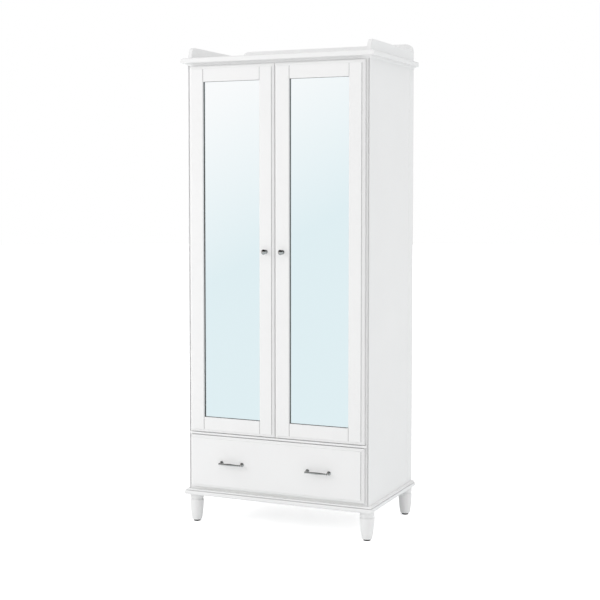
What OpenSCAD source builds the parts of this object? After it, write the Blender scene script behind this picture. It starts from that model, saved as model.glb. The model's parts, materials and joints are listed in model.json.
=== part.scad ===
// Two-door mirror armoire with a full-width drawer, gallery top and turned legs.
// Units: millimetres. +Z up, front towards -Y, origin at the middle of the footprint on the floor.
// Left and right are as seen by somebody standing in front of the doors.

/* [Overall size] */
// Width over the moulded top board
width = 880; // [820:10:1000]
// Depth from the back edge to the front of the knobs and handles
depth = 580; // [540:10:660]
// Height from the floor to the top of the back gallery
height = 2080; // [1900:10:2200]

/* [Carcass] */
// Overhang of the top board past the carcass, at the front and sides
top_overhang = 23; // [20:1:26]
// Overhang of the base board past the carcass, at the front and sides
base_overhang = 17; // [14:1:20]
// Thickness of the side panels, bottom and fixed shelf
panel_t = 18; // [16:1:20]
// Thickness of the stile that lines the front of each side panel
lining_t = 10; // [8:1:12]
// Depth of the lining stiles and rear posts, front to back
post_d = 59; // [55:1:70]
// Thickness of the top board
top_t = 22; // [20:1:26]
// Thickness of the base board
base_t = 27; // [25:1:30]
// Height of the cove moulding under the top board
cove_h = 11; // [8:1:12]
// Height of the rail under the front of the top board
top_rail_h = 48; // [40:1:60]
// Thickness of the back panels
back_t = 4; // [3:0.5:6]

/* [Gallery] */
// Height of the back gallery above the top board
gallery_back_h = 78; // [60:1:100]
// Height of the side galleries above the top board
gallery_side_h = 46.5; // [42:0.5:55]
// Thickness of the gallery boards
gallery_t = 16; // [14:1:18]
// Corner radius of the gallery boards
gallery_r = 34; // [20:1:40]
// Setback of the side galleries from the front of the carcass
gallery_setback = 4; // [0:1:60]

/* [Legs and feet] */
// Height from the floor to the underside of the base board
leg_h = 121.5; // [110:0.5:140]
// Largest diameter of the turned legs
leg_dia = 60; // [54:1:62]
// Diameter of the legs at the toe
toe_dia = 43; // [38:1:48]
// Height of the collar at the head of the legs
collar_h = 20; // [14:1:24]
// Diameter of the levelling feet
foot_dia = 30; // [26:1:34]
// Height of the levelling foot disc
foot_disc_h = 7; // [6:0.5:9]
// Diameter of the foot stems and leg bolts
stem_dia = 8; // [6:1:10]

/* [Doors and drawer front] */
// Thickness of the door frames and the drawer front
front_t = 20; // [19:1:22]
// Gap between the back of the fronts and the carcass
front_gap = 2; // [2:0.5:3]
// Carcass front left showing beside the doors and drawer
side_reveal = 16.75; // [14:0.25:18]
// Gap between the two doors
meeting_gap = 3; // [2:0.5:4]
// Width of the door stiles
stile_w = 67; // [60:1:80]
// Height of the door rails
rail_w = 65.5; // [55:0.5:80]
// Depth of the rail face behind the stile face
rail_step = 1.2; // [0.5:0.1:1.6]
// Setback of the mirror behind the face of the stiles
mirror_setback = 12; // [10:0.5:12]
// Thickness of the mirror glass
mirror_t = 4; // [3:0.5:5]
// Width of the moulded border around the fronts
border_w = 12.5; // [10:0.5:14]
// Depth the moulded border falls to at its edge
border_fall = 9; // [7:0.5:10]
// Height of the drawer front
drawer_h = 225.5; // [180:0.5:260]
// Gap between the drawer front and the base board
bottom_gap = 14.5; // [12:0.5:16]
// Space between the drawer and the doors, filled by the bead of the fixed shelf
mid_gap = 14.5; // [12:0.5:16]
// Gap between that bead and the fronts above and below it
bead_gap = 2.5; // [2:0.5:3]
// Setback of the bead behind the face of the doors and drawer
bead_back = 5; // [3:0.5:9]
// Carcass showing between the doors and the top board
top_gap = 16.5; // [14:0.5:20]

/* [Drawer box] */
// Height of the drawer box
box_h = 150; // [90:1:160]
// Thickness of the drawer box sides and back
box_t = 15; // [12:1:16]
// Length of the drawer box behind the front
box_l = 450; // [350:10:500]
// Thickness of the drawer bottom
bottom_t = 4; // [3:0.5:6]

/* [Handles] */
// Distance the knobs and handles stand out from the fronts
pull_out = 27; // [24:1:36]
// Distance of the knobs from the meeting edge of the doors
knob_in = 37; // [32:1:45]
// Diameter of the knob heads
knob_dia = 22; // [18:1:26]
// Centre distance of the handle posts
handle_cc = 97; // [80:1:128]
// Diameter of the handle grip at its middle
grip_dia = 9.5; // [8:0.5:12]
// Diameter of the handle rosettes
rosette_dia = 18; // [15:1:20]

/* [Inside] */
// Height of the hat shelf above the fixed shelf
shelf_up = 1300; // [1100:10:1400]
// Thickness of the hat shelf
shelf_t = 16; // [15:1:20]
// Diameter of the clothes rail
rail_dia = 25; // [20:1:30]
// Distance of the clothes rail below the hat shelf
rail_down = 60; // [50:1:80]

/* [Hidden] */
$fn = 48;
eps = 0.01;
snug = 0.1;         // clearance round glued or driven pins, on the diameter
loose = 0.4;        // clearance round screws and stems, on the diameter
slide_fit = 0.5;    // clearance between the sliding runner members

w2 = width / 2;
ws = w2 - top_overhang;              // outer face of the side panels
wi = ws - panel_t;                   // inner face of the side panels
wp = wi - lining_t;                  // inner face of the lining stiles and rear posts
y_back = depth / 2;
y_front = -depth / 2 + pull_out;     // face of the doors and drawer
y_fb = y_front + front_t;            // back of the doors and drawer
y_c = y_fb + front_gap;              // front plane of the carcass
y_ps = y_c + post_d;                 // back of the lining stiles
y_rp = y_back - post_d;              // front of the rear posts
y_bp = y_back - back_t;              // front of the back panels

z_base = leg_h;
z_floor = z_base + base_t;           // top of the base board
z_dr0 = z_floor + bottom_gap;        // drawer front, bottom edge
z_dr1 = z_dr0 + drawer_h;
z_do0 = z_dr1 + mid_gap;             // doors, bottom edge
z_tt = height - gallery_back_h;      // top face of the top board
z_top = z_tt - top_t;                // underside of the top board
z_do1 = z_top - top_gap;             // doors, top edge
x_edge = ws - side_reveal;           // outer edge of the doors and drawer front
z_mid = (z_dr1 + z_do0) / 2;         // middle of the fixed shelf
z_deck = z_mid + panel_t / 2;        // top face of the fixed shelf
bead_h = mid_gap - 2 * bead_gap;
edge_lip = 3;                        // lip outside the quirk of the side panels
edge_quirk = 4.5;                    // width of that quirk
edge_depth = 6;                      // depth of that quirk

// Legs
leg_x = ws - 19.5;
leg_yf = y_c + leg_dia / 2;
leg_yr = y_back - leg_dia / 2 - 1;
bolt_in_base = base_t - 4;           // part of the leg bolt inside the base board
bolt_in_leg = 39;
foot_stem_l = 40;

// Right-hand door in place; the left one is its mirror image
dx0 = meeting_gap / 2;
dx1 = x_edge;
hinge_cup_dia = 35;
hinge_cup_depth = 11.5;
hinge_cup_in = 23.5;                 // cup centre inside the outer edge of the door
hinge_count = 4;
hinge_end = 110;                     // end hinges from the ends of the door
flange_l = 52;                       // length of the flange of a hinge cup
flange_t = 1.2;
plate_l = 54;                        // length, width and place of a hinge plate
plate_w = 18;
plate_in = 28;
hinge_zs = [for (k = [0:hinge_count - 1])
  z_do0 + hinge_end + k * (z_do1 - z_do0 - 2 * hinge_end) / (hinge_count - 1)];
x_knob = dx0 + knob_in;
z_knob = (z_do0 + z_do1) / 2;
stud_dia = 4;                        // knob studs and handle screws
stud_l = 14;

// Mirror and its backing in the door rebate
rebate_w = 9;
y_mir = y_front + mirror_setback;
joint_v = 2.4;                       // depth of the vee between stiles and rails
border_step = 4;                     // crisp step at the inside of the border

// Drawer box and runners
runner_gap = 12.7;                   // room for one runner between box and stile
runner_h = 45;
runner_sheet = 1.2;
runner_rail_w = 10;                  // width of the channel fixed to the carcass
runner_front = 3;                    // cabinet runner behind the front of the carcass
runner_seat = 24;                    // length of the cabinet runner on the rear post
box_x = wp - runner_gap;             // outer face of the drawer box
z_box = z_floor + panel_t + 9;
z_runner = z_box + box_h / 2;
groove_up = 8;                       // drawer bottom above the edge of the sides
groove_in = 6;
x_handle = x_edge / 2;
z_handle = (z_dr0 + z_dr1) / 2;
handle_posts = [for (s = [-1, 1], t = [-1, 1]) s * x_handle + t * handle_cc / 2];

// Hat shelf, pins and clothes rail
z_shelf = z_deck + shelf_up;
shelf_setback = 62;
pin_dia = 5;
pin_l = 8;
pin_in = 30;                         // front pins behind the lining stiles
pin_y1 = y_ps + pin_in;
pin_y2 = y_back - post_d / 2;
rail_z = z_shelf - rail_down;
rail_y = (y_c + shelf_setback + y_bp) / 2;
bracket_l = 16;                      // reach of a rail bracket, its wall, flange and flange thickness
bracket_wall = 3;
bracket_rim = 11;
bracket_t = 2.5;
rail_tube = 1.2;                     // wall of the clothes rail
rail_end = 3;                        // rail short of the side panels
strip_w = 44;
strip_t = 10;

// Carcass screws, up through the base board and down through the top board
screw_x = ws - panel_t / 2;
screw_ys = [y_c + post_d - 9, y_rp + 9];
screw_d = 5;
screw_head = 10;
screw_l = 60;

// Dowels for the galleries, the fixed shelf and the top rail
dowel_d = 8;
dowel_l = 30;
dowel_down = 16;                     // part of a gallery dowel in the top board
dowel_out = 13;                      // part of a shelf dowel in the side panel
gx = ws - gallery_t / 2;
gal_y0 = y_c + gallery_setback;
dowel_front = 60;                    // gallery dowels from the front end of the board
dowel_rear = 30;                     // and in front of the rear posts
side_dowels = [gal_y0 + dowel_front, y_rp - dowel_rear];
back_dowels = [-0.75 * ws, -0.25 * ws, 0.25 * ws, 0.75 * ws];
shelf_dowels = [y_ps + 50, 0, y_rp - 50];

// Which piece to show

white = [0.95, 0.95, 0.94];
inside = [0.93, 0.93, 0.92];
black = [0.05, 0.05, 0.05];
steel = [0.70, 0.71, 0.72];
nickel = [0.45, 0.44, 0.42];
glass = [0.80, 0.90, 0.92];

// ---------- helpers ----------

module flip() { mirror([1, 0, 0]) children(); }
module both() { children(); flip() children(); }

module box(x0, x1, y0, y1, z0, z1) {
  translate([x0, y0, z0]) cube([x1 - x0, y1 - y0, z1 - z0]);
}

// Rods along X, Y or Z
module rod_x(x0, x1, y, z, d) { translate([x0, y, z]) rotate([0, 90, 0]) cylinder(d = d, h = x1 - x0); }
module rod_y(x, y0, y1, z, d) { translate([x, y0, z]) rotate([-90, 0, 0]) cylinder(d = d, h = y1 - y0); }
module rod_z(x, y, z0, z1, d) { translate([x, y, z0]) cylinder(d = d, h = z1 - z0); }

// What a rounded arris cuts away at a right-hand upper corner (x, y):
// run w along the top, fall h down the side, arc tangent to the top
module arris(x, y, w, h) {
  r = (w * w + h * h) / (2 * h);
  difference() {
    translate([x - w, y - h]) square([w + 1, h + 1]);
    translate([x - w, y - r]) circle(r = r, $fn = 120);
  }
}

// ---------- moulded boards ----------
// Each section is drawn with x as the distance out from the carcass and y as the height

module top_section(back) {
  o = top_overhang;
  difference() {
    translate([-back, 0]) square([back + o, top_t]);
    arris(o, top_t, 13, 5);
    translate([0, top_t]) mirror([0, 1]) arris(o, top_t, 3, 3);
  }
}

// Heavy rounded nose, a quirk, and an ovolo that steps back to the carcass
module base_section(back) {
  o = base_overhang;
  zn = base_t - 8.4;      // top of the nose
  q = 2.4;                // height of the quirk
  difference() {
    translate([-back, 0]) square([back + o, base_t]);
    translate([0, zn]) mirror([0, 1]) arris(o, zn, 9, 9);
    difference() {
      arris(o, zn, 2.5, 2.5);
      translate([o - 3, zn]) square([5, 5]);
    }
    translate([o - 9, zn]) square([10, q]);
    translate([o - 3, zn]) square([4, base_t]);
    arris(o - 3, base_t, base_t - zn - q, base_t - zn - q);
  }
}

// Hollow that carries the top board
module cove_section() {
  r = cove_h - 1.5;
  difference() {
    square([cove_h, cove_h]);
    translate([cove_h, 0]) circle(r = r, $fn = 96);
  }
}

// One section along the front and both ends, mitred at the front corners:
// children(0) is the end section, children(1) the front section
module mould_board(z) {
  intersection() {
    translate([0, y_back, z]) rotate([90, 0, 0]) linear_extrude(depth)
      union() { translate([ws, 0]) children(0); mirror([1, 0]) translate([ws, 0]) children(0); }
    translate([w2 + 10, y_c, z]) rotate([90, 0, -90]) linear_extrude(width + 20) children(1);
  }
}

module base_board() {
  color(white) difference() {
    mould_board(z_base) { base_section(ws + 1); base_section(y_back - y_c); }
    for (s = [-1, 1]) {
      for (y = [leg_yf, leg_yr]) rod_z(s * leg_x, y, z_base - 1, z_base + bolt_in_base, stem_dia + snug);
      for (y = screw_ys) translate([s * screw_x, y, z_base]) screw_hole(base_t);
    }
  }
}

module top_board() {
  color(white) difference() {
    mould_board(z_top) { top_section(ws + 1); top_section(y_back - y_c); }
    for (s = [-1, 1], y = screw_ys) translate([s * screw_x, y, z_tt]) mirror([0, 0, 1]) screw_hole(top_t);
    gallery_dowels(snug);
  }
}

module cornice_moulding() {
  l = y_back - y_c;
  color(white) difference() {
    mould_board(z_top - cove_h) {
      union() { translate([-ws - 1, 0]) square([ws + 1 + eps, cove_h]); cove_section(); }
      union() { translate([-l, 0]) square([l + eps, cove_h]); cove_section(); }
    }
    box(-ws, ws, y_c, y_back + 1, z_top - cove_h - 1, z_top + 1);
  }
}

// ---------- fasteners ----------

module screw_hole(t) {
  translate([0, 0, -eps]) cylinder(d = screw_d + loose, h = t + 2 * eps);
  translate([0, 0, -eps]) cylinder(d1 = screw_head + snug, d2 = screw_d, h = 2.5 + eps);
}

// Countersunk screw with a hex recess, head face at z = 0, pointing up
module carcass_screw() {
  difference() {
    union() {
      cylinder(d1 = screw_head, d2 = screw_d, h = 2.5);
      translate([0, 0, 2.4]) cylinder(d = screw_d, h = screw_l - 5.4);
      translate([0, 0, screw_l - 3]) cylinder(d1 = screw_d, d2 = 1.5, h = 3);
    }
    translate([0, 0, -1]) cylinder(d = 3.4, h = 2.2, $fn = 6);
  }
}

module carcass_screws() {
  color(steel) for (s = [-1, 1], y = screw_ys) {
    translate([s * screw_x, y, z_base]) carcass_screw();
    translate([s * screw_x, y, z_tt]) mirror([0, 0, 1]) carcass_screw();
  }
}

module screw_bores() {
  for (s = [-1, 1], y = screw_ys) {
    rod_z(s * screw_x, y, z_floor - 1, z_base + screw_l + 0.5, screw_d + snug);
    rod_z(s * screw_x, y, z_tt - screw_l - 0.5, z_top + 1, screw_d + snug);
  }
}

module gallery_dowels(c) {
  for (s = [-1, 1], y = side_dowels)
    rod_z(s * gx, y, z_tt - dowel_down - c, z_tt + dowel_l - dowel_down + c, dowel_d + c);
  for (x = back_dowels)
    rod_z(x, y_back - gallery_t / 2, z_tt - dowel_down - c, z_tt + dowel_l - dowel_down + c, dowel_d + c);
}

module shelf_dowels(c) {
  both() for (y = shelf_dowels)
    rod_x(wi - dowel_l + dowel_out - c, wi + dowel_out + c, y, z_mid, dowel_d + c);
}

module rail_dowels(c) {
  both() rod_x(wp - 14 - c, wi + 8 + c, y_c + 8, z_top - top_rail_h / 2 - 6, dowel_d + c);
}

module dowels() { color([0.80, 0.66, 0.46]) { gallery_dowels(0); shelf_dowels(0); rail_dowels(0); } }

// ---------- carcass ----------

// Side panel: quirked bead down its front edge, vee joint against the rear post
module side_panel_right() {
  lip = edge_lip;
  qw = edge_quirk;
  qd = edge_depth;
  color(white) difference() {
    translate([0, 0, z_floor]) linear_extrude(z_top - z_floor) difference() {
      translate([wi, y_c]) square([panel_t, y_rp - y_c]);
      // quirk beside the front outer corner
      translate([ws - lip - qw, y_c - 1]) square([qw, qd + 1]);
      translate([ws - lip - qw, y_c]) mirror([0, 1]) arris(0, 0, 2.5, 2.5);
      translate([ws, y_c]) mirror([0, 1]) arris(0, 0, 1, 1);
      translate([ws, y_rp]) rotate(45) square(2, center = true);
    }
    screw_bores();
    shelf_dowels(snug);
    rail_dowels(snug);
    rod_x(wi - 1, wi + pin_l + 0.5, pin_y1, z_shelf - pin_dia / 2, pin_dia + snug);
  }
}

module side_panel_left() { flip() side_panel_right(); }

module front_stile_right() {
  color(white) difference() {
    box(wp, wi, y_c, y_ps, z_floor, z_top);
    rail_dowels(snug);
  }
}

module front_stile_left() { flip() front_stile_right(); }

// Rear post: vee joint on the outer face, rebate for the back panel
module rear_post_right() {
  color(white) difference() {
    translate([0, 0, z_floor]) linear_extrude(z_top - z_floor) difference() {
      translate([wp, y_rp]) square([ws - wp, post_d]);
      translate([wp - 1, y_bp]) square([11, back_t + 1]);
      translate([ws, y_rp]) rotate(45) square(2, center = true);
    }
    screw_bores();
    rod_x(wp - 1, wp + pin_l + 0.5, pin_y2, z_shelf - pin_dia / 2, pin_dia + snug);
  }
}

module rear_post_left() { flip() rear_post_right(); }

// Board that fits between the sides and round the stiles and posts
module notched_board(y0, z0, t, gap) {
  difference() {
    box(-wi + gap, wi - gap, y0, y_bp, z0, z0 + t);
    both() {
      box(wp - gap, wi + 1, y0 - 1, y_ps + gap, z0 - 1, z0 + t + 1);
      box(wp - gap, wi + 1, y_rp - gap, y_bp + 1, z0 - 1, z0 + t + 1);
    }
  }
}

module bottom_panel() { color(inside) notched_board(y_c, z_floor, panel_t, 0); }

// Fixed shelf with a bead that runs across the front of the carcass, from quirk to quirk
module fixed_shelf() {
  xb = ws - edge_lip - edge_quirk - 0.5;
  rb = bead_h / 2;
  color(white) difference() {
    union() {
      notched_board(y_c, z_mid - panel_t / 2, panel_t, 0);
      translate([-xb, 0, z_mid]) rotate([90, 0, 90]) linear_extrude(2 * xb) union() {
        translate([y_front + bead_back + rb, 0]) circle(r = rb, $fn = 64);
        translate([y_front + bead_back + rb, -rb])
          square([y_c - y_front - bead_back - rb, bead_h]);
      }
      box(-wp, wp, y_c - 1, y_c + 2, z_mid - rb, z_mid + rb);
    }
    shelf_dowels(snug);
  }
}

module top_rail() {
  color(white) difference() {
    box(-wp, wp, y_c, y_c + 20, z_top - top_rail_h, z_top);
    rail_dowels(snug);
  }
}

// ---------- gallery ----------

// Board of length l and height h with rounded upper corners, on the left or at both ends
module rounded_board(l, h, r, both_ends) {
  difference() {
    square([l, h]);
    for (x = both_ends ? [0, l] : [0]) translate([x, h]) mirror([x > 0 ? 0 : 1, 0]) difference() {
      translate([-r, -r]) square(r + 1);
      translate([-r, -r]) circle(r = r, $fn = 96);
    }
  }
}

module gallery_right() {
  color(white) difference() {
    translate([ws - gallery_t, gal_y0, z_tt]) rotate([90, 0, 90]) linear_extrude(gallery_t)
      rounded_board(y_back - gallery_t - gal_y0, gallery_side_h, gallery_r, false);
    gallery_dowels(snug);
  }
}

module gallery_left() { flip() gallery_right(); }

module gallery_back() {
  color(white) difference() {
    translate([-ws, y_back, z_tt]) rotate([90, 0, 0]) linear_extrude(gallery_t)
      rounded_board(2 * ws, gallery_back_h, gallery_r, true);
    gallery_dowels(snug);
  }
}

// ---------- back ----------

module back_panel_right() { color(inside) box(0, wp + 10, y_bp, y_back, z_floor, z_top); }
module back_panel_left() { flip() back_panel_right(); }

// Strip over the joint of the back panels, in two lengths above and below the hat shelf
module back_joint_strip() {
  color(inside) difference() {
    box(-strip_w / 2, strip_w / 2, y_bp - strip_t, y_bp, z_deck, z_top);
    box(-strip_w, strip_w, y_bp - strip_t - 1, y_bp + 1, z_shelf, z_shelf + shelf_t);
  }
}

// ---------- inside ----------

module hat_shelf() {
  color(inside) difference() {
    box(-wi + 0.5, wi - 0.5, y_c + shelf_setback, y_bp, z_shelf, z_shelf + shelf_t);
    both() box(wp - 0.5, wi + 1, y_rp - 0.5, y_bp + 1, z_shelf - 1, z_shelf + shelf_t + 1);
  }
}

// Spigot in the wall, a collar against it and a flat ledge under the shelf
module shelf_pin(x, y) {
  z = z_shelf - pin_dia / 2;
  rod_x(x - 1, x + pin_l, y, z, pin_dia);
  rod_x(x - 1.5, x, y, z, pin_dia);
  box(x - 11, x - 1, y - pin_dia / 2, y + pin_dia / 2, z - pin_dia / 2, z_shelf);
}

module shelf_pins() { color(steel) both() { shelf_pin(wi, pin_y1); shelf_pin(wp, pin_y2); } }

module clothes_rail() {
  l = wi - rail_end;
  color(steel) difference() {
    rod_x(-l, l, rail_y, rail_z, rail_dia);
    rod_x(-l - 1, l + 1, rail_y, rail_z, rail_dia - 2 * rail_tube);
  }
}

module rail_bracket() {
  difference() {
    union() {
      rod_x(wi - bracket_t, wi, rail_y, rail_z, rail_dia + 2 * bracket_rim);
      rod_x(wi - bracket_l, wi - bracket_t + eps, rail_y, rail_z, rail_dia + 2 * bracket_wall);
    }
    rod_x(wi - bracket_l - 1, wi - rail_end, rail_y, rail_z, rail_dia + snug);
  }
}

module rail_brackets() { color(steel) both() rail_bracket(); }

// ---------- legs and feet ----------

module leg(x, y) {
  h = leg_h - foot_disc_h;
  color(white) translate([x, y, foot_disc_h]) difference() {
    rotate_extrude($fn = 72) leg_profile(h);
    translate([0, 0, -1]) cylinder(d = stem_dia + loose, h = foot_stem_l + 3);
    translate([0, 0, h - bolt_in_leg]) cylinder(d = stem_dia + snug, h = bolt_in_leg + 1);
  }
}

// Half profile of the turned leg: rounded toe, long swelling body, cut neck, rounded collar
module leg_profile(h) {
  r = leg_dia / 2;
  rt = 4;
  hn = 6;                              // height of the neck cut
  hb = h - collar_h - hn;
  fall = (leg_dia - toe_dia) / 2;
  rb = (hb * hb + fall * fall) / (2 * fall);
  xt = r - rb + sqrt(rb * rb - (hb - rt) * (hb - rt));
  difference() {
    union() {
      difference() {
        intersection() {
          translate([0, rt]) square([r, hb - rt]);
          translate([r - rb, hb]) circle(r = rb, $fn = 180);
        }
        arris(r, hb, 1.5, 1.5);
      }
      square([xt - rt, rt + eps]);
      intersection() { translate([xt - rt, rt]) circle(r = rt); square([xt, rt + eps]); }
      translate([0, hb - eps]) square([r - 3.2, hn + 2 * eps]);
      translate([0, h - collar_h]) difference() {
        square([r, collar_h]);
        arris(r, collar_h, 2, 2);
        translate([0, collar_h]) mirror([0, 1]) arris(r, collar_h, 3, 3);
      }
    }
    translate([-5, -1]) square([5, h + 2]);
  }
}

module leg_front_left() { leg(-leg_x, leg_yf); }
module leg_front_right() { leg(leg_x, leg_yf); }
module leg_rear_left() { leg(-leg_x, leg_yr); }
module leg_rear_right() { leg(leg_x, leg_yr); }

module leg_bolts() {
  color(steel) for (x = [-leg_x, leg_x], y = [leg_yf, leg_yr])
    rod_z(x, y, leg_h - bolt_in_leg, leg_h + bolt_in_base, stem_dia);
}

// Levelling foot: rounded disc with a stem that screws up into the leg
module foot(x, y) {
  r = foot_dia / 2;
  color(black) translate([x, y, 0]) rotate_extrude($fn = 60) union() {
    difference() {
      square([r, foot_disc_h]);
      translate([0, foot_disc_h]) mirror([0, 1]) arris(r, foot_disc_h, 3.5, 2.5);
      arris(r, foot_disc_h, 1, 1);
    }
    square([stem_dia / 2, foot_disc_h + foot_stem_l - 1]);
    square([stem_dia / 2 - 1, foot_disc_h + foot_stem_l]);
  }
}

module foot_front_left() { foot(-leg_x, leg_yf); }
module foot_front_right() { foot(leg_x, leg_yf); }
module foot_rear_left() { foot(-leg_x, leg_yr); }
module foot_rear_right() { foot(leg_x, leg_yr); }

// ---------- moulded fronts ----------

// Section of a front from a to b: face at y = 0, a crisp step inside the border,
// then an ovolo that falls away to the edge
module edge_section(a, b) {
  s = border_step;
  w = border_w - 1;
  f = border_fall - s;
  difference() {
    translate([a, 0]) square([b - a, front_t]);
    for (m = [0, 1]) translate([m ? b : a, 0]) mirror([1 - m, 0]) {
      translate([-border_w, -1]) square([border_w + 1, s + 1]);
      translate([0, s]) mirror([0, 1]) arris(0, 0, w, f);
    }
  }
}

// Slab with the border on all four edges, mitred at the corners
module front_slab(x0, x1, z0, z1) {
  intersection() {
    translate([0, y_front, z0]) linear_extrude(z1 - z0) edge_section(x0, x1);
    translate([x0, y_front, 0]) rotate([90, 0, 90]) linear_extrude(x1 - x0)
      mirror([1, -1]) edge_section(z0, z1);
  }
}

// Vees down the joints of stiles and rails, between the borders
module joint_vees() {
  for (x = [dx0 + stile_w, dx1 - stile_w])
    translate([x, y_front, z_do0 + border_w]) linear_extrude(z_do1 - z_do0 - 2 * border_w)
      rotate(45) square(joint_v * sqrt(2), center = true);
}

module door_rebate() {
  box(dx0 + stile_w - rebate_w, dx1 - stile_w + rebate_w, y_mir, y_fb + 1,
      z_do0 + rail_w - rebate_w, z_do1 - rail_w + rebate_w);
}

module stile(x0, x1) {
  difference() {
    intersection() {
      front_slab(dx0, dx1, z_do0, z_do1);
      box(x0, x1, y_front - 1, y_fb + 1, z_do0 - 1, z_do1 + 1);
    }
    door_rebate();
    joint_vees();
  }
}

module hinge_stile() {
  difference() {
    stile(dx1 - stile_w, dx1 + 1);
    for (z = hinge_zs) rod_y(dx1 - hinge_cup_in, y_fb - hinge_cup_depth, y_fb + 1, z, hinge_cup_dia + snug);
  }
}

module meeting_stile() {
  difference() {
    stile(dx0 - 1, dx0 + stile_w);
    rod_y(x_knob, y_front - 1, y_front + stud_l + 0.5, z_knob, stud_dia + snug);
  }
}

// z0 is the lower edge of the rail, f the lower edge of its recessed field
module door_rail(z0, f) {
  difference() {
    intersection() {
      front_slab(dx0, dx1, z_do0, z_do1);
      box(dx0 + stile_w, dx1 - stile_w, y_front - 1, y_fb + 1, z0, z0 + rail_w);
    }
    box(dx0, dx1, y_front - 1, y_front + rail_step, f, f + rail_w - border_w);
    door_rebate();
    joint_vees();
  }
}

module top_door_rail() { door_rail(z_do1 - rail_w, z_do1 - rail_w); }
module bottom_door_rail() { door_rail(z_do0, z_do0 + border_w); }

module mirror_pane() {
  c = rebate_w - 0.5;
  box(dx0 + stile_w - c, dx1 - stile_w + c, y_mir, y_mir + mirror_t, z_do0 + rail_w - c, z_do1 - rail_w + c);
}

// Backing board, flush with the back of the door
module mirror_backing() {
  c = rebate_w;
  box(dx0 + stile_w - c, dx1 - stile_w + c, y_mir + mirror_t, y_fb, z_do0 + rail_w - c, z_do1 - rail_w + c);
}

// Turned knob: rosette, waisted neck, domed head, and a stud into the stile
module knob() {
  k = knob_dia / 2;
  p = pull_out;
  dome = 5;                            // height of the domed face
  rd = (k * k + dome * dome) / (2 * dome);
  rim = p - dome - 1.5;                // lower edge of the rim
  translate([x_knob, y_front, z_knob]) rotate([90, 0, 0]) union() {
    rotate_extrude($fn = 60) union() {
      difference() { square([rosette_dia / 2, 3]); arris(rosette_dia / 2, 3, 3, 2); }
      difference() {
        square([k * 0.6, rim]);
        translate([k * 0.6 + 2.2, 3 + (rim - 4) / 2]) circle(r = (rim - 4) / 2 , $fn = 60);
        translate([k * 0.6 - 0.6, -1]) square([2, rim - 2]);
      }
      intersection() {
        translate([0, p - rd]) circle(r = rd, $fn = 96);
        translate([0, p - dome]) square([k, dome + 1]);
      }
      translate([0, rim]) square([k, 1.5 + eps]);
      translate([0, rim - 3]) difference() {
        square([k, 3 + eps]);
        translate([0, 3]) mirror([0, 1]) arris(k, 3, k * 0.4, 3);
      }
    }
    translate([0, 0, -stud_l]) cylinder(d = stud_dia, h = stud_l + 1);
  }
}

// Cup of a concealed hinge, let into the back of the door, with its fixing flange
module hinge_cup(z) {
  x = dx1 - hinge_cup_in;
  difference() {
    union() {
      rod_y(x, y_fb - hinge_cup_depth, y_fb + 0.1, z, hinge_cup_dia);
      for (e = [-1, 1]) rod_y(x + 2, y_fb, y_fb + flange_t, z + e * (flange_l / 2 - 7), 14);
      box(x - 5, x + 9, y_fb, y_fb + flange_t, z - flange_l / 2 + 7, z + flange_l / 2 - 7);
      rod_y(x, y_fb, y_fb + flange_t, z, hinge_cup_dia + 4);
    }
    rod_y(x, y_fb - hinge_cup_depth + 1.2, y_fb + 2, z, hinge_cup_dia - 3);
  }
}

// Plate screwed to the lining stile and the arm that reaches forward into the cup
module hinge_arm(z) {
  y1 = y_c + post_d - 4;
  pe = (plate_l - plate_w) / 2;
  difference() {
    union() {
      for (e = [-1, 1]) rod_x(wp - 2.4, wp, y_c + plate_in + plate_w / 2, z + e * pe, plate_w);
      box(wp - 2.4, wp, y_c + plate_in, y_c + plate_in + plate_w, z - pe, z + pe);
      box(wp - 3.4, wp, y_c + 18, y1, z - 9, z + 9);
      box(wp - 16, wp - 3, y_c + 4, y1, z - 7, z + 7);
      box(wp - 16, wp - 5, y_c - front_gap - 1, y_c + 5, z - 6, z + 6);
    }
    box(wp - 14.6, wp - 4.4, y_c + 12, y1 + 1, z - 5.6, z + 5.6);
  }
}

module door_left_hinge_stile() { color(white) flip() hinge_stile(); }
module door_left_meeting_stile() { color(white) flip() meeting_stile(); }
module door_left_top_rail() { color(white) flip() top_door_rail(); }
module door_left_bottom_rail() { color(white) flip() bottom_door_rail(); }
module mirror_left() { color(glass) flip() mirror_pane(); }
module mirror_backing_left() { color(inside) flip() mirror_backing(); }
module knob_left() { color(nickel) flip() knob(); }
module hinge_cups_left() { color(steel) flip() for (z = hinge_zs) hinge_cup(z); }

module door_right_hinge_stile() { color(white) hinge_stile(); }
module door_right_meeting_stile() { color(white) meeting_stile(); }
module door_right_top_rail() { color(white) top_door_rail(); }
module door_right_bottom_rail() { color(white) bottom_door_rail(); }
module mirror_right() { color(glass) mirror_pane(); }
module mirror_backing_right() { color(inside) mirror_backing(); }
module knob_right() { color(nickel) knob(); }
module hinge_cups_right() { color(steel) for (z = hinge_zs) hinge_cup(z); }

module hinge_arms() { color(steel) both() for (z = hinge_zs) hinge_arm(z); }

// ---------- drawer ----------

module bottom_groove(c, y0, y1) {
  w = box_x - box_t + groove_in;
  box(-w + c, w - c, y0, y1, z_box + groove_up, z_box + groove_up + bottom_t);
}

module drawer_front() {
  color(white) difference() {
    front_slab(-x_edge, x_edge, z_dr0, z_dr1);
    for (x = handle_posts) rod_y(x, y_front - 1, y_fb + 1, z_handle, stud_dia + loose);
    bottom_groove(0, y_fb - groove_in, y_fb + 1);
  }
}

module drawer_side_right() {
  color(inside) difference() {
    box(box_x - box_t, box_x, y_fb, y_fb + box_l, z_box, z_box + box_h);
    bottom_groove(0, y_fb - 1, y_fb + box_l + 1);
  }
}

module drawer_side_left() { flip() drawer_side_right(); }

module drawer_back() {
  color(inside) box(-box_x + box_t, box_x - box_t, y_fb + box_l - box_t, y_fb + box_l,
                    z_box + groove_up + bottom_t, z_box + box_h);
}

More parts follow.
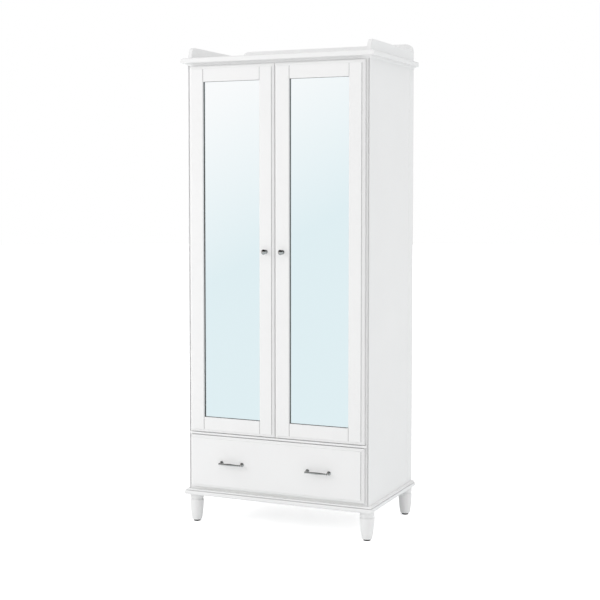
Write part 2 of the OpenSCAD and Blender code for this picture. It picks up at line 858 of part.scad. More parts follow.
module drawer_bottom() { color(inside) bottom_groove(0.5, y_fb - groove_in + 0.5, y_fb + box_l); }

// Handle: two rosettes and posts that carry a turned grip, thickest at its middle
module bow_handle(xc) {
  c = handle_cc / 2;
  yg = y_front - pull_out + grip_dia / 2;
  out = pull_out - grip_dia / 2;
  bow = (grip_dia - 6) / 2;                    // swell of the grip
  hg = c - 9;                                  // half length of the grip
  rr = rosette_dia / 2;
  difference() {
    union() {
      for (x = [xc - c, xc + c]) translate([x, y_front, z_handle]) rotate([90, 0, 0]) {
        rotate_extrude() difference() {
          union() {
            square([rr, 3]);
            square([5.6, 5.5]);
            square([3.4, out]);
          }
          arris(rr, 3, 3, 2);
          translate([6.6, 6]) circle(r = 3.2);
        }
        translate([0, 0, out]) sphere(r = 4.4);
      }
      translate([xc, yg, z_handle]) rotate([0, 90, 0]) rotate_extrude() union() {
        polygon(concat([[0, -hg]], [for (t = [-6:6]) [3 + bow * cos(15 * t), hg * t / 6]], [[0, hg]]));
        translate([0, -c]) square([2.8, 2 * c]);
        for (k = [-1, 1]) translate([0, k * (hg + 1)])
          polygon([[0, -1.6], [3, -1.6], [3.9, -0.8], [3.9, 0.8], [3, 1.6], [0, 1.6]]);
      }
    }
    for (x = [xc - c, xc + c]) rod_y(x, y_front - 12, y_front + 1, z_handle, stud_dia + snug);
  }
}

module drawer_handle_left() { color(nickel) bow_handle(-x_handle); }
module drawer_handle_right() { color(nickel) bow_handle(x_handle); }

// Machine screws from inside the drawer into the handle posts
module handle_screws() {
  color(steel) for (x = handle_posts) difference() {
    union() {
      rod_y(x, y_front - 11, y_fb + 0.5, z_handle, stud_dia);
      translate([x, y_fb, z_handle]) rotate([-90, 0, 0]) cylinder(d1 = 8, d2 = 6, h = 2.4);
    }
    box(x - 2.4, x + 2.4, y_fb + 1.4, y_fb + 3, z_handle - 0.5, z_handle + 0.5);
  }
}

// Channel fixed to the lining stile and rear post, open towards the drawer
module outer_runner() {
  z0 = z_runner - runner_h / 2;
  z1 = z_runner + runner_h / 2;
  y0 = y_c + runner_front;
  y1 = y_rp + runner_seat;
  difference() {
    box(wp - runner_rail_w, wp, y0, y1, z0, z1);
    box(wp - runner_rail_w - 1, wp - runner_sheet, y0 - 1, y1 + 1, z0 + runner_sheet, z1 - runner_sheet);
  }
}

// Channel fixed to the drawer side, running inside the outer one
module inner_runner() {
  g = runner_sheet + slide_fit;
  z0 = z_runner - runner_h / 2 + g;
  z1 = z_runner + runner_h / 2 - g;
  y0 = y_fb + 8;
  y1 = y_fb + box_l;
  difference() {
    box(box_x, wp - g, y0, y1, z0, z1);
    box(box_x + runner_sheet, wp, y0 - 1, y1 + 1, z0 + runner_sheet, z1 - runner_sheet);
  }
}

module cabinet_runners() { color(steel) both() outer_runner(); }
module drawer_runners() { color(steel) both() inner_runner(); }

// ---------- selection ----------

base_board();
bottom_panel();
front_stile_left();
front_stile_right();
rear_post_left();
rear_post_right();
side_panel_left();
side_panel_right();
fixed_shelf();
top_rail();
top_board();
cornice_moulding();
gallery_left();
gallery_right();
gallery_back();
back_panel_left();
back_panel_right();
back_joint_strip();
hat_shelf();
shelf_pins();
clothes_rail();
rail_brackets();
leg_front_left();
leg_front_right();
leg_rear_left();
leg_rear_right();
leg_bolts();
carcass_screws();
dowels();
foot_front_left();
foot_front_right();
foot_rear_left();
foot_rear_right();
door_left_hinge_stile();
door_left_meeting_stile();
door_left_top_rail();
door_left_bottom_rail();
mirror_left();
mirror_backing_left();
knob_left();
hinge_cups_left();
door_right_hinge_stile();
door_right_meeting_stile();
door_right_top_rail();
door_right_bottom_rail();
mirror_right();
mirror_backing_right();
knob_right();
hinge_cups_right();
hinge_arms();
drawer_front();
drawer_side_left();
drawer_side_right();
drawer_back();
drawer_bottom();
drawer_handle_left();
drawer_handle_right();
handle_screws();
drawer_runners();
cabinet_runners();
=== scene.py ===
import json
import math

import bmesh
import bpy
from mathutils import Matrix, Vector


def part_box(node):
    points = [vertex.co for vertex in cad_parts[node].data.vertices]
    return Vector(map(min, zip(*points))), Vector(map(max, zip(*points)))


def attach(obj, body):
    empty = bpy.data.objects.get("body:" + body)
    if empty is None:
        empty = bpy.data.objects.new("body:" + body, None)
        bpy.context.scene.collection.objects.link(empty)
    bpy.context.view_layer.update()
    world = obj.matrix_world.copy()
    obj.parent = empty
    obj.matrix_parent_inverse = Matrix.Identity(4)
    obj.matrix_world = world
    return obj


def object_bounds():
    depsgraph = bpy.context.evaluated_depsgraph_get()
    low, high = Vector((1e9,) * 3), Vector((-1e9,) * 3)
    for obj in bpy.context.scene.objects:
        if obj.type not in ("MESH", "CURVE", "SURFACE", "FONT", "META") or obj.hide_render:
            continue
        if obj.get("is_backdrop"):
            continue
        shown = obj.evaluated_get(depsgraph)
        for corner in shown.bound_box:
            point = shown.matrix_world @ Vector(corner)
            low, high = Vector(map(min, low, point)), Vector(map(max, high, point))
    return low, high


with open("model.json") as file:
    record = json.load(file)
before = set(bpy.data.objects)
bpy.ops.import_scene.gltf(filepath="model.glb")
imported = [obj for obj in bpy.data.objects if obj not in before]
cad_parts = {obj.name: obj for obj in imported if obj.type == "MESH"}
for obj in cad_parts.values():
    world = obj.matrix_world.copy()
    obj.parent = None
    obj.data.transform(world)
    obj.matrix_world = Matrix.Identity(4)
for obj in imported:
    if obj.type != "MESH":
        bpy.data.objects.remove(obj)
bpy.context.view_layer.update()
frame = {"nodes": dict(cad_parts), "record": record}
nodes = frame["nodes"]
record = frame["record"]
print("frame loaded:", len(nodes), "nodes")


def newMaterial(name):
    mat = bpy.data.materials.new(name)
    mat.use_nodes = True
    tree = mat.node_tree
    tree.nodes.clear()
    out = tree.nodes.new("ShaderNodeOutputMaterial")
    shader = tree.nodes.new("ShaderNodeBsdfPrincipled")
    tree.links.new(shader.outputs["BSDF"], out.inputs["Surface"])
    return mat, tree, shader


def noiseNode(tree, scale, detail=2.0, stretch=(1.0, 1.0, 1.0)):
    coord = tree.nodes.new("ShaderNodeTexCoord")
    mapping = tree.nodes.new("ShaderNodeMapping")
    mapping.inputs["Scale"].default_value = stretch
    noise = tree.nodes.new("ShaderNodeTexNoise")
    noise.inputs["Scale"].default_value = scale
    noise.inputs["Detail"].default_value = detail
    tree.links.new(coord.outputs["Object"], mapping.inputs["Vector"])
    tree.links.new(mapping.outputs["Vector"], noise.inputs["Vector"])
    return noise


rampEnds = (0.3, 0.7)


def rampNode(tree, shader, source, dark, light):
    ramp = tree.nodes.new("ShaderNodeValToRGB")
    for element, place, colour in zip(ramp.color_ramp.elements, rampEnds, (dark, light)):
        element.position = place
        element.color = (*colour, 1.0)
    tree.links.new(source, ramp.inputs["Fac"])
    tree.links.new(ramp.outputs["Color"], shader.inputs["Base Color"])


def rangeNode(tree, source, low, high):
    part = tree.nodes.new("ShaderNodeMapRange")
    part.inputs["To Min"].default_value = low
    part.inputs["To Max"].default_value = high
    tree.links.new(source, part.inputs["Value"])
    return part


def bumpNode(tree, shader, height, strength, distance):
    bump = tree.nodes.new("ShaderNodeBump")
    bump.inputs["Strength"].default_value = strength
    bump.inputs["Distance"].default_value = distance
    tree.links.new(height, bump.inputs["Height"])
    tree.links.new(bump.outputs["Normal"], shader.inputs["Normal"])


lacquer = {
    "light": (0.855, 0.855, 0.855),
    "dark": (0.838, 0.838, 0.838),
    "cloudScale": 3.0,
    "roughLow": 0.34,
    "roughHigh": 0.44,
    "roughScale": 18.0,
    "peelScale": 240.0,
    "peelBump": 0.05,
    "peelDepth": 0.0004,
    "gloss": 0.4,
}


def makeLacquer():
    mat, tree, shader = newMaterial("whiteLacquer")
    cloud = noiseNode(tree, lacquer["cloudScale"], detail=3.0)
    rampNode(tree, shader, cloud.outputs["Fac"], lacquer["dark"], lacquer["light"])
    rough = noiseNode(tree, lacquer["roughScale"], detail=4.0)
    part = rangeNode(tree, rough.outputs["Fac"], lacquer["roughLow"], lacquer["roughHigh"])
    tree.links.new(part.outputs["Result"], shader.inputs["Roughness"])
    peel = noiseNode(tree, lacquer["peelScale"], detail=1.0)
    bumpNode(tree, shader, peel.outputs["Fac"], lacquer["peelBump"], lacquer["peelDepth"])
    shader.inputs["Specular IOR Level"].default_value = lacquer["gloss"]
    return mat


board = {
    "light": (0.875, 0.875, 0.865),
    "dark": (0.850, 0.850, 0.840),
    "cloudScale": 6.0,
    "roughLow": 0.48,
    "roughHigh": 0.60,
    "grainScale": 900.0,
    "grainStretch": (1.0, 1.0, 0.25),
    "grainBump": 0.12,
    "grainDepth": 0.0003,
}


def makeBoard():
    mat, tree, shader = newMaterial("whiteBoard")
    cloud = noiseNode(tree, board["cloudScale"])
    rampNode(tree, shader, cloud.outputs["Fac"], board["dark"], board["light"])
    grain = noiseNode(tree, board["grainScale"], stretch=board["grainStretch"])
    part = rangeNode(tree, grain.outputs["Fac"], board["roughLow"], board["roughHigh"])
    tree.links.new(part.outputs["Result"], shader.inputs["Roughness"])
    bumpNode(tree, shader, grain.outputs["Fac"], board["grainBump"], board["grainDepth"])
    return mat


mirrorGlass = {
    "tint": (0.880, 0.940, 0.955),
    "cloudTint": 0.995,
    "cloudScale": 1.2,
    "rough": 0.01,
}


def makeMirrorGlass():
    mat, tree, shader = newMaterial("mirrorGlass")
    cloud = noiseNode(tree, mirrorGlass["cloudScale"], detail=1.0)
    clouded = tuple(c * mirrorGlass["cloudTint"] for c in mirrorGlass["tint"])
    rampNode(tree, shader, cloud.outputs["Fac"], clouded, mirrorGlass["tint"])
    shader.inputs["Metallic"].default_value = 1.0
    shader.inputs["Roughness"].default_value = mirrorGlass["rough"]
    return mat


# brushed or plated metals: stretch draws the grain out along one axis
metalDetail, metalDepth = 3.0, 0.0002
metals = {
    "darkNickel": {
        "dark": (0.38, 0.377, 0.37), "light": (0.52, 0.516, 0.508), "rough": (0.08, 0.16),
        "scale": 500.0, "stretch": (0.1, 1.0, 1.0), "bump": 0.08,
    },
    "zincPlate": {
        "dark": (0.58, 0.59, 0.60), "light": (0.68, 0.69, 0.70), "rough": (0.28, 0.42),
        "scale": 300.0, "stretch": (1.0, 0.2, 1.0), "bump": 0.10,
    },
    "chromePlate": {
        "dark": (0.70, 0.71, 0.72), "light": (0.76, 0.77, 0.78), "rough": (0.06, 0.12),
        "scale": 200.0, "stretch": (0.1, 1.0, 1.0), "bump": 0.03,
    },
}


def makeMetal(name):
    metal = metals[name]
    mat, tree, shader = newMaterial(name)
    cloud = noiseNode(tree, metal["scale"], metalDetail, metal["stretch"])
    rampNode(tree, shader, cloud.outputs["Fac"], metal["dark"], metal["light"])
    part = rangeNode(tree, cloud.outputs["Fac"], *metal["rough"])
    tree.links.new(part.outputs["Result"], shader.inputs["Roughness"])
    bumpNode(tree, shader, cloud.outputs["Fac"], metal["bump"], metalDepth)
    shader.inputs["Metallic"].default_value = 1.0
    return mat


footPlastic = {
    "dark": (0.006, 0.006, 0.006),
    "light": (0.014, 0.014, 0.014),
    "rough": 0.7,
    "gloss": 0.15,
    "grainScale": 1500.0,
    "grainBump": 0.3,
    "grainDepth": 0.0002,
}


def makePlastic():
    mat, tree, shader = newMaterial("footPlastic")
    grain = noiseNode(tree, footPlastic["grainScale"])
    rampNode(tree, shader, grain.outputs["Fac"], footPlastic["dark"], footPlastic["light"])
    shader.inputs["Roughness"].default_value = footPlastic["rough"]
    shader.inputs["Specular IOR Level"].default_value = footPlastic["gloss"]
    bumpNode(tree, shader, grain.outputs["Fac"], footPlastic["grainBump"],
             footPlastic["grainDepth"])
    return mat


beechWood = {
    "dark": (0.52, 0.36, 0.20),
    "light": (0.68, 0.50, 0.31),
    "rough": 0.6,
    "grainScale": 60.0,
    "grainStretch": (1.0, 1.0, 0.08),
    "grainBump": 0.2,
    "grainDepth": 0.0003,
}


def makeBeech():
    mat, tree, shader = newMaterial("beechWood")
    grain = noiseNode(tree, beechWood["grainScale"], detail=6.0, stretch=beechWood["grainStretch"])
    rampNode(tree, shader, grain.outputs["Fac"], beechWood["dark"], beechWood["light"])
    shader.inputs["Roughness"].default_value = beechWood["rough"]
    bumpNode(tree, shader, grain.outputs["Fac"], beechWood["grainBump"],
             beechWood["grainDepth"])
    return mat


finishes = {
    "white_lacquer": makeLacquer(),
    "white_board": makeBoard(),
    "mirror_glass": makeMirrorGlass(),
    "dark_nickel": makeMetal("darkNickel"),
    "zinc_steel": makeMetal("zincPlate"),
    "chromed_steel": makeMetal("chromePlate"),
    "black_plastic": makePlastic(),
    "beech": makeBeech(),
}
slotOf = {part["node"]: part["material_slot"] for part in record["subparts"]}
for name, obj in nodes.items():
    obj.data.materials.clear()
    obj.data.materials.append(finishes[slotOf[name]])
print("materials set on", len(nodes), "nodes")


def finishPiece(shape, name, slot, body):
    bmesh.ops.recalc_face_normals(shape, faces=shape.faces[:])
    mesh = bpy.data.meshes.new(name)
    shape.to_mesh(mesh)
    shape.free()
    piece = bpy.data.objects.new(name, mesh)
    bpy.context.scene.collection.objects.link(piece)
    mesh.materials.append(finishes[slot])
    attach(piece, body)


# a thin black bead round each glass
mirrorSeal = {
    "wall": 0.0005,
    "deep": 0.0040,
    "rebate": 0.0085,
    "off": 0.00005,
    "round": 0.00015,
    "lipFrom": 0.01,
}


def makeMirrorSeal(side):
    low, high = (Vector(corner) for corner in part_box("mirror_" + side))
    width = high.x - low.x - 2 * mirrorSeal["rebate"]
    tall = high.z - low.z - 2 * mirrorSeal["rebate"]
    shape = bmesh.new()
    bmesh.ops.create_grid(shape, x_segments=1, y_segments=1, size=0.5)
    bmesh.ops.scale(shape, vec=(width, tall, 1.0), verts=shape.verts[:])
    upright = Matrix.Rotation(math.radians(90.0), 3, "X")
    bmesh.ops.rotate(shape, matrix=upright, verts=shape.verts[:])
    inner = shape.faces[:]
    bmesh.ops.inset_region(shape, faces=inner, thickness=mirrorSeal["wall"],
                           use_boundary=True, use_even_offset=True)
    bmesh.ops.delete(shape, geom=inner, context="FACES_ONLY")
    grown = bmesh.ops.extrude_face_region(shape, geom=shape.faces[:], use_keep_orig=True)
    front = [v for v in grown["geom"] if isinstance(v, bmesh.types.BMVert)]
    bmesh.ops.translate(shape, vec=(0.0, -mirrorSeal["deep"], 0.0), verts=front)
    lip = [e for e in shape.edges
           if all(v in front for v in e.verts) and e.calc_length() > mirrorSeal["lipFrom"]]
    bmesh.ops.bevel(shape, geom=lip, offset=mirrorSeal["round"], segments=2, profile=0.5,
                    affect="EDGES", material=-1)
    middle = ((low.x + high.x) / 2, low.y - mirrorSeal["off"], (low.z + high.z) / 2)
    bmesh.ops.translate(shape, vec=middle, verts=shape.verts[:])
    finishPiece(shape, "mirror_seal_" + side, "black_plastic", "door_" + side)


def makeShadeStrips(name, line, face, places, body):
    # thin dark strips of painted shade that deepen a shadow line: places are pairs of x and a
    # bottom and top
    shape = bmesh.new()
    for x, (bottom, top) in places:
        made = bmesh.ops.create_cube(shape, size=1.0)["verts"]
        bmesh.ops.scale(shape, vec=(line["wide"], line["deep"], top - bottom), verts=made)
        middle = (x, face + line["deep"] / 2, (bottom + top) / 2)
        bmesh.ops.translate(shape, vec=middle, verts=made)
    bmesh.ops.bevel(shape, geom=shape.edges[:], offset=line["round"], segments=1, profile=0.5,
                    affect="EDGES", material=-1)
    finishPiece(shape, name, "black_plastic", body)


# painted shade: dark strips in the vees between stiles and rails and at the foot of each border
# step
jointShade = {"wide": 0.0011, "deep": 0.0008, "sunk": 0.0019, "round": 0.0001}
borderShade = {"wide": 0.0008, "deep": 0.0006, "sunk": 0.00392, "round": 0.0001, "border": 0.0125}
doorParts = ("_hinge_stile", "_meeting_stile", "_top_rail", "_bottom_rail")


def frontBox(parts):
    boxes = [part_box(part) for part in parts]
    low = Vector([min(box[0][k] for box in boxes) for k in range(3)])
    high = Vector([max(box[1][k] for box in boxes) for k in range(3)])
    return low, high


def makeJointShade(side, low, high):
    # painted shade: dark strips at the bottom of the vees between stiles and rails
    glassLow, glassHigh = (Vector(corner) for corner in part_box("mirror_" + side))
    rebate, border = mirrorSeal["rebate"], borderShade["border"]
    spans = ((low.z + border, glassLow.z + rebate), (glassHigh.z - rebate, high.z - border))
    places = [(x, span) for x in (glassLow.x + rebate, glassHigh.x - rebate) for span in spans]
    face = low.y + jointShade["sunk"]
    makeShadeStrips("joint_shade_" + side, jointShade, face, places, "door_" + side)


def makeBorderShade(name, low, high, body):
    # painted shade: dark strips at the foot of the step inside the moulded border
    inset = borderShade["border"] - borderShade["wide"] / 2
    span = (low.z + borderShade["border"], high.z - borderShade["border"])
    places = [(low.x + inset, span), (high.x - inset, span)]
    makeShadeStrips(name, borderShade, low.y + borderShade["sunk"], places, body)


for side in ("left", "right"):
    low, high = frontBox(["door_" + side + part for part in doorParts])
    makeMirrorSeal(side)
    makeJointShade(side, low, high)
    makeBorderShade("border_shade_" + side, low, high, "door_" + side)
makeBorderShade("border_shade_drawer", *frontBox(["drawer_front"]), "drawer")
print("mirror seals, joint lines and border lines made")


screwKinds = {
    "pan": {
        "radius": 0.0034, "height": 0.0013,
        "slotLong": 0.0034, "slotWide": 0.0010, "slotDeep": 0.0009,
    },
    "flat": {
        "radius": 0.0040, "height": 0.0009,
        "slotLong": 0.0040, "slotWide": 0.0011, "slotDeep": 0.0007,
    },
    "adjuster": {
        "radius": 0.0030, "height": 0.0010,
        "slotLong": 0.0032, "slotWide": 0.0010, "slotDeep": 0.0008,
    },
}
screwHead = {
    "segments": 24,
    "shoulderRise": 0.55,
    "crownRise": 0.45,
    "crownGrow": 0.80,
    "slotTaper": 0.00015,
    "turnEach": 37.0,
}


def screwMesh(kind):
    # head outline below, shoulder, then a cross recess sunk into the top; the axis is +Z
    size = screwKinds[kind]
    shape = bmesh.new()
    bmesh.ops.create_circle(shape, segments=screwHead["segments"], radius=size["radius"])
    rim = shape.edges[:]
    steps = ((1.0, screwHead["shoulderRise"]), (screwHead["crownGrow"], screwHead["crownRise"]))
    for grow, rise in steps:
        grown = bmesh.ops.extrude_edge_only(shape, edges=rim)["geom"]
        ring = [v for v in grown if isinstance(v, bmesh.types.BMVert)]
        rim = [e for e in grown if isinstance(e, bmesh.types.BMEdge)]
        bmesh.ops.scale(shape, vec=(grow, grow, 1.0), verts=ring)
        bmesh.ops.translate(shape, vec=(0.0, 0.0, rise * size["height"]), verts=ring)
    half, arm = size["slotWide"] / 2, size["slotLong"] / 2
    outline = [(half, half), (half, arm), (-half, arm), (-half, half),
               (-arm, half), (-arm, -half), (-half, -half), (-half, -arm),
               (half, -arm), (half, -half), (arm, -half), (arm, half)]
    cross = shape.faces.new([shape.verts.new((x, y, size["height"])) for x, y in outline])
    bmesh.ops.bridge_loops(shape, edges=rim + list(cross.edges))
    bmesh.ops.inset_region(shape, faces=[cross], thickness=screwHead["slotTaper"],
                           depth=-size["slotDeep"])
    bmesh.ops.holes_fill(shape, edges=shape.edges[:], sides=screwHead["segments"])
    bmesh.ops.recalc_face_normals(shape, faces=shape.faces[:])
    mesh = bpy.data.meshes.new("screw_" + kind)
    shape.to_mesh(mesh)
    shape.free()
    return mesh


screwMeshes = {kind: screwMesh(kind) for kind in screwKinds}


def makeScrews(name, kind, body, places):
    # places are pairs of a head's seat and the direction that it faces
    shape = bmesh.new()
    for count, (seat, facing) in enumerate(places):
        first = len(shape.verts)
        shape.from_mesh(screwMeshes[kind])
        shape.verts.ensure_lookup_table()
        turn = Vector(facing).to_track_quat("Z", "Y").to_matrix().to_4x4()
        spin = Matrix.Rotation(math.radians(screwHead["turnEach"] * count), 4, "Z")
        placed = Matrix.Translation(seat) @ turn @ spin
        bmesh.ops.transform(shape, matrix=placed, verts=shape.verts[first:])
    finishPiece(shape, name, "zinc_steel", body)


liningWall, carcassFront = Vector(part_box("front_stile_right")[0]).xy
hinges = {
    "count": 4,
    "flangeHalf": 0.026,
    "screwUp": 0.019,
    "screwOut": 0.002,
    "plateThick": 0.0024,
    "plateIn": 0.037,
    "plateUp": 0.018,
    "armOut": 0.016,
    "armScrewsIn": (0.024, 0.044),
}


def hingeHeights():
    low, high = (Vector(corner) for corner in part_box("hinge_cups_right"))
    first, last = low.z + hinges["flangeHalf"], high.z - hinges["flangeHalf"]
    span, gaps = last - first, hinges["count"] - 1
    return [first + k * span / gaps for k in range(hinges["count"])]


def pairs(x, y, apart, facing):
    # two places for each hinge, one above and one below its middle
    return [((x, y, z + up), facing) for z in hingeHeights() for up in (-apart, apart)]


for side, hand in (("left", -1.0), ("right", 1.0)):
    inward = (-hand, 0.0, 0.0)
    low, high = (Vector(corner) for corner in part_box("hinge_cups_" + side))
    x = (low.x + high.x) / 2 + hand * hinges["screwOut"]
    makeScrews("cup_screws_" + side, "pan", "door_" + side,
               pairs(x, high.y, hinges["screwUp"], (0.0, 1.0, 0.0)))
    x = hand * (liningWall - hinges["plateThick"])
    makeScrews("plate_screws_" + side, "pan", "carcass",
               pairs(x, carcassFront + hinges["plateIn"], hinges["plateUp"], inward))
    x = hand * (liningWall - hinges["armOut"])
    makeScrews("arm_screws_" + side, "adjuster", "carcass",
               [((x, carcassFront + back, z), inward) for z in hingeHeights()
                for back in hinges["armScrewsIn"]])
print("hinge screws made")


runnerScrews = {"sheet": 0.0012, "shares": (0.12, 0.48, 0.86)}
bracketScrews = {"flange": 0.0025, "circle": 0.0195, "angles": (90.0, 210.0, 330.0)}


def makeFixings():
    low, high = (Vector(corner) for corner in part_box("cabinet_runners"))
    railLow, railHigh = (Vector(corner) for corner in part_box("rail_brackets"))
    railY, railZ = (railLow.y + railHigh.y) / 2, (railLow.z + railHigh.z) / 2
    runner, bracket = [], []
    for hand in (-1.0, 1.0):
        x = hand * (high.x - runnerScrews["sheet"])
        for share in runnerScrews["shares"]:
            seat = (x, low.y + share * (high.y - low.y), (low.z + high.z) / 2)
            runner.append((seat, (-hand, 0.0, 0.0)))
        x = hand * (railHigh.x - bracketScrews["flange"])
        for angle in bracketScrews["angles"]:
            out, turn = bracketScrews["circle"], math.radians(angle)
            seat = (x, railY + out * math.cos(turn), railZ + out * math.sin(turn))
            bracket.append((seat, (-hand, 0.0, 0.0)))
    makeScrews("runner_screws", "flat", "carcass", runner)
    makeScrews("bracket_screws", "flat", "carcass", bracket)


makeFixings()

backNails = {
    "radius": 0.0024,
    "taper": 0.7,
    "proud": 0.00012,
    "sunk": 0.0006,
    "inset": 0.007,
    "pitch": 0.14,
    "endGap": 0.02,
    "edgeGap": 0.008,
    "stripIn": 0.011,
    "across": 4,
}


def nailPlaces(low, high):
    shelfLow, shelfHigh = (Vector(corner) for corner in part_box("fixed_shelf"))
    shelf = (shelfLow.z + shelfHigh.z) / 2
    end = backNails["endGap"]
    rows = int((high.z - low.z) / backNails["pitch"])
    places = []
    for hand in (-1.0, 1.0):
        for k in range(rows + 1):
            z = low.z + end + k * (high.z - low.z - 2 * end) / rows
            places.append((hand * (high.x - backNails["inset"]), z))
            if z > shelf + end:
                places.append((hand * backNails["stripIn"], z))
        for k in range(1, backNails["across"]):
            x = hand * k * high.x / backNails["across"]
            places += [(x, z) for z in (low.z + backNails["edgeGap"], shelf)]
    return places


def makeBackNails():
    low, high = (Vector(corner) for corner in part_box("back_panel_right"))
    outward = Matrix.Rotation(math.radians(-90.0), 3, "X")
    y = high.y + backNails["proud"] - backNails["sunk"] / 2
    shape = bmesh.new()
    for x, z in nailPlaces(low, high):
        made = bmesh.ops.create_cone(shape, cap_ends=True, segments=16,
                                     radius1=backNails["radius"],
                                     radius2=backNails["radius"] * backNails["taper"],
                                     depth=backNails["sunk"])["verts"]
        bmesh.ops.rotate(shape, matrix=outward, verts=made)
        bmesh.ops.translate(shape, vec=(x, y, z), verts=made)
    finishPiece(shape, "back_nails", "zinc_steel", "carcass")


makeBackNails()
print("runner, bracket and back fixings made")


# each softbox is its axis, the power that narrows it and its strength
studio = {
    "ambient": 0.763,
    "softboxes": (((0.0, 0.0, 1.0), 2.0, 1.0), ((1.0, 0.0, 0.1), 3.0, 0.356)),
    "background": 1.0,
    "mirrorLow": (0.845, 0.918, 0.938),
    "mirrorHigh": (1.077, 1.027, 1.020),
    "mirrorAxis": (-0.6, 0.0, 1.0),
    "lowAt": 0.213,
    "highAt": 0.360,
    "ceilingFrom": 0.16,
    "ceilingTo": 0.32,
    "ceilingTone": 0.03,
    "floorRadius": 30.0,
    "floorSegments": 96,
    "floorColour": (0.93, 0.93, 0.93),
    "floorBounce": 0.0,
    "floorLift": 0.53,
    "keyPower": 59.4,
    "keySize": 2.0,
    "keyPlace": (-3.8, -3.2, 2.6),
    "keyAim": (0.0, -0.2, 1.0),
}


def makeWorld():
    world = bpy.data.worlds.new("studio")
    bpy.context.scene.world = world
    world.use_nodes = True
    tree = world.node_tree
    tree.nodes.clear()
    add, link = tree.nodes.new, tree.links.new
    out = add("ShaderNodeOutputWorld")
    path = add("ShaderNodeLightPath")
    coord = add("ShaderNodeTexCoord")

    def towards(axis):
        dot = add("ShaderNodeVectorMath")
        dot.operation = "DOT_PRODUCT"
        dot.inputs[1].default_value = axis
        link(coord.outputs["Generated"], dot.inputs[0])
        return dot.outputs["Value"]

    def mathNode(kind, first, second):
        node = add("ShaderNodeMath")
        node.operation = kind
        link(first, node.inputs[0])
        if isinstance(second, float):
            node.inputs[1].default_value = second
        else:
            link(second, node.inputs[1])
        return node.outputs["Value"]

    # an even room with a broad soft box overhead and a weaker one on the right
    light = None
    for axis, spread, power in studio["softboxes"]:
        facing = mathNode("MAXIMUM", towards(Vector(axis).normalized()), 0.0)
        lobe = mathNode("POWER", facing, spread)
        lobe = mathNode("MULTIPLY", lobe, power)
        light = mathNode("ADD", lobe, studio["ambient"] if light is None else light)
    ambient = add("ShaderNodeBackground")
    link(light, ambient.inputs["Strength"])
    shown = add("ShaderNodeBackground")
    shown.inputs["Color"].default_value = (1.0, 1.0, 1.0, 1.0)
    shown.inputs["Strength"].default_value = studio["background"]
    # what glossy rays show: a pale blue room that turns white up and to the left
    height = add("ShaderNodeMapRange")
    height.inputs["From Min"].default_value = studio["lowAt"]
    height.inputs["From Max"].default_value = studio["highAt"]
    link(towards(studio["mirrorAxis"]), height.inputs["Value"])
    tone = add("ShaderNodeMix")
    tone.data_type = "RGBA"
    tone.inputs["A"].default_value = (*studio["mirrorLow"], 1.0)
    tone.inputs["B"].default_value = (*studio["mirrorHigh"], 1.0)
    link(height.outputs["Result"], tone.inputs["Factor"])
    glossy = add("ShaderNodeBackground")
    link(tone.outputs["Result"], glossy.inputs["Color"])
    # a dark ceiling seen only in reflections, which gives polished metal its contrast
    ceiling = add("ShaderNodeMapRange")
    ceiling.inputs["From Min"].default_value = studio["ceilingFrom"]
    ceiling.inputs["From Max"].default_value = studio["ceilingTo"]
    ceiling.inputs["To Min"].default_value = 1.0
    ceiling.inputs["To Max"].default_value = studio["ceilingTone"]
    link(towards((0.0, 0.0, 1.0)), ceiling.inputs["Value"])
    link(ceiling.outputs["Result"], glossy.inputs["Strength"])
    first = add("ShaderNodeMixShader")
    link(path.outputs["Is Glossy Ray"], first.inputs["Fac"])
    link(ambient.outputs["Background"], first.inputs[1])
    link(glossy.outputs["Background"], first.inputs[2])
    second = add("ShaderNodeMixShader")
    seen = mathNode("MAXIMUM", path.outputs["Is Camera Ray"], path.outputs["Is Transmission Ray"])
    link(seen, second.inputs["Fac"])
    link(first.outputs["Shader"], second.inputs[1])
    link(shown.outputs["Background"], second.inputs[2])
    link(second.outputs["Shader"], out.inputs["Surface"])


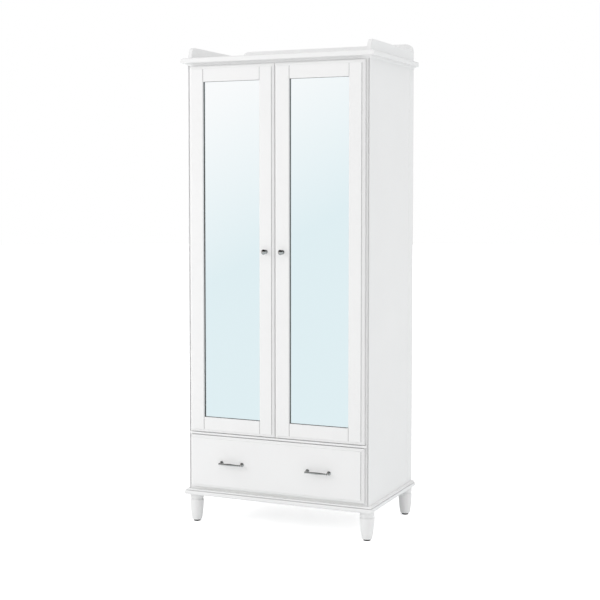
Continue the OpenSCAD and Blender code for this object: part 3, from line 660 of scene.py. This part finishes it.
def makeFloor():
    shape = bmesh.new()
    bmesh.ops.create_circle(shape, cap_ends=True, segments=studio["floorSegments"],
                            radius=studio["floorRadius"])
    mesh = bpy.data.meshes.new("floor")
    shape.to_mesh(mesh)
    shape.free()
    floor = bpy.data.objects.new("floor", mesh)
    bpy.context.scene.collection.objects.link(floor)
    floor.visible_glossy = False
    mat, tree, shader = newMaterial("floorPaint")
    shader.inputs["Base Color"].default_value = (*studio["floorColour"], 1.0)
    shader.inputs["Roughness"].default_value = 1.0
    shader.inputs["Specular IOR Level"].default_value = 0.0
    path = tree.nodes.new("ShaderNodeLightPath")
    glow = tree.nodes.new("ShaderNodeMapRange")
    glow.inputs["To Min"].default_value = studio["floorBounce"]
    glow.inputs["To Max"].default_value = studio["floorLift"]
    tree.links.new(path.outputs["Is Camera Ray"], glow.inputs["Value"])
    lift = tree.nodes.new("ShaderNodeEmission")
    tree.links.new(glow.outputs["Result"], lift.inputs["Strength"])
    both = tree.nodes.new("ShaderNodeAddShader")
    tree.links.new(shader.outputs["BSDF"], both.inputs[0])
    tree.links.new(lift.outputs["Emission"], both.inputs[1])
    out = next(n for n in tree.nodes if n.type == "OUTPUT_MATERIAL")
    tree.links.new(both.outputs["Shader"], out.inputs["Surface"])
    mesh.materials.append(mat)
    floor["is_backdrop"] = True


def makeKey():
    data = bpy.data.lights.new("keySoftbox", "AREA")
    data.energy = studio["keyPower"]
    data.shape = "DISK"
    data.size = studio["keySize"]
    light = bpy.data.objects.new("keySoftbox", data)
    bpy.context.scene.collection.objects.link(light)
    light.location = studio["keyPlace"]
    aim = Vector(studio["keyAim"]) - Vector(studio["keyPlace"])
    light.rotation_euler = aim.to_track_quat("-Z", "Y").to_euler()
    light.visible_glossy = False


cameraSet = {
    "place": (2.2506, -5.0112, 1.4276),
    "yaw": 23.716,
    "pitch": -3.202,
    "roll": 0.039,
    "lens": 75.90,
    "sensor": 36.0,
    "shiftX": -0.0172,
    "shiftY": -0.0600,
    "clip": (0.1, 100.0),
}


def makeCamera():
    data = bpy.data.cameras.new("camera")
    data.lens = cameraSet["lens"]
    data.sensor_width = cameraSet["sensor"]
    data.shift_x = cameraSet["shiftX"]
    data.shift_y = cameraSet["shiftY"]
    data.clip_start, data.clip_end = cameraSet["clip"]
    cam = bpy.data.objects.new("camera", data)
    bpy.context.scene.collection.objects.link(cam)
    turn = (Matrix.Rotation(math.radians(cameraSet["yaw"]), 4, "Z")
            @ Matrix.Rotation(math.radians(90.0 + cameraSet["pitch"]), 4, "X")
            @ Matrix.Rotation(math.radians(cameraSet["roll"]), 4, "Z"))
    cam.matrix_world = Matrix.Translation(cameraSet["place"]) @ turn
    bpy.context.scene.camera = cam


makeWorld()
makeFloor()
makeKey()
makeCamera()
bpy.context.scene.view_settings.view_transform = "Standard"
print("floor, light and camera made")

low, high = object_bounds()
